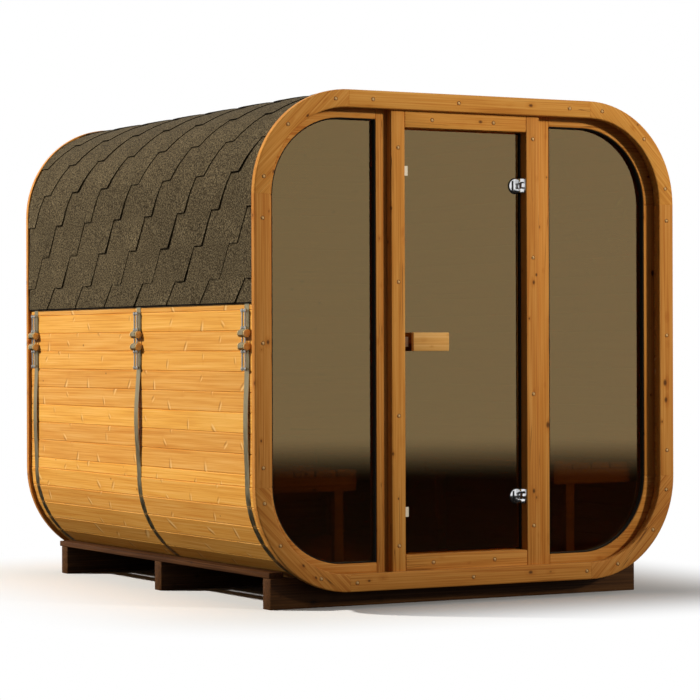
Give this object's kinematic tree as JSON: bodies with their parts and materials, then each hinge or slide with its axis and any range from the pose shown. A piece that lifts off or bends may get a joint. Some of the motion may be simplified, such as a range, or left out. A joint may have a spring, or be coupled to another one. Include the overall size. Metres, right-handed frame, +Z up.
{
  "type": "outdoor sauna",
  "caption": "Free-standing timber sauna cabin with a rounded-square barrel body, shingle roof, steel hoops, bronze glass front and an outward-opening glass door.",
  "frame": {"origin": "on the ground under the middle of the cabin", "axes": "+X to the right seen from the front, +Y from the glazed front to the back, +Z up"},
  "size_m": [2.1382, 2.44, 2.17],
  "materials": {
    "thermo_wood": "brushed thermally modified spruce, oiled",
    "trim_wood": "planed thermally modified spruce, oiled",
    "base_wood": "impregnated softwood, dark brown",
    "bench_wood": "planed sauna bench boards",
    "bronze_glass": "bronze tinted toughened glass, polished",
    "shingle": "bitumen shingle with mineral granules",
    "galvanised_steel": "galvanised steel strip",
    "bar_metal": "round bar with copper coloured ends",
    "hinge_chrome": "polished chrome",
    "clip_plastic": "translucent buffer"
  },
  "bodies": {
    "cabin": {"back_bearer": "base_wood", "back_hoop": "galvanised_steel", "back_ring_corners": "trim_wood", "back_ring_rails": "trim_wood", "back_wall": "thermo_wood", "ceiling_staves": "thermo_wood", "door_head_rail": "trim_wood", "door_sill_rail": "trim_wood", "floor_staves": "thermo_wood", "front_bearer": "base_wood", "front_hoop": "galvanised_steel", "front_ring_bottom_rail": "trim_wood", "front_ring_corners": "trim_wood", "front_ring_left_rail": "trim_wood", "front_ring_right_rail": "trim_wood", "front_ring_top_rail": "trim_wood", "hinge_leaves": "hinge_chrome", "left_bench_seat": "bench_wood", "left_bench_trestles": "bench_wood", "left_door_post": "trim_wood", "left_ledge": "base_wood", "left_wall_staves": "thermo_wood", "left_window_corners": "trim_wood", "left_window_glass": "bronze_glass", "left_window_side_rail": "trim_wood", "left_window_stile": "trim_wood", "lower_left_corner_staves": "thermo_wood", "lower_right_corner_staves": "thermo_wood", "middle_bearer": "base_wood", "middle_hoop": "galvanised_steel", "right_bench_seat": "bench_wood", "right_bench_trestles": "bench_wood", "right_door_post": "trim_wood", "right_ledge": "base_wood", "right_wall_staves": "thermo_wood", "right_window_corners": "trim_wood", "right_window_glass": "bronze_glass", "right_window_side_rail": "trim_wood", "right_window_stile": "trim_wood", "shingle_roof": "shingle", "tensioner_crossbars": "bar_metal", "tensioner_rods": "galvanised_steel", "upper_left_corner_staves": "thermo_wood", "upper_right_corner_staves": "thermo_wood"},
    "door": {"door_glass": "bronze_glass", "door_handles": "trim_wood", "hinge_clamps": "hinge_chrome", "door_edge_clips": "clip_plastic"}
  },
  "joints": [
    {"name": "door_hinge", "type": "hinge", "parent": "cabin", "child": "door", "pos_m": [0.2805, -1.1775, 1.12], "axis": [0, 0, 1], "range_deg": [0, 95]}
  ]
}
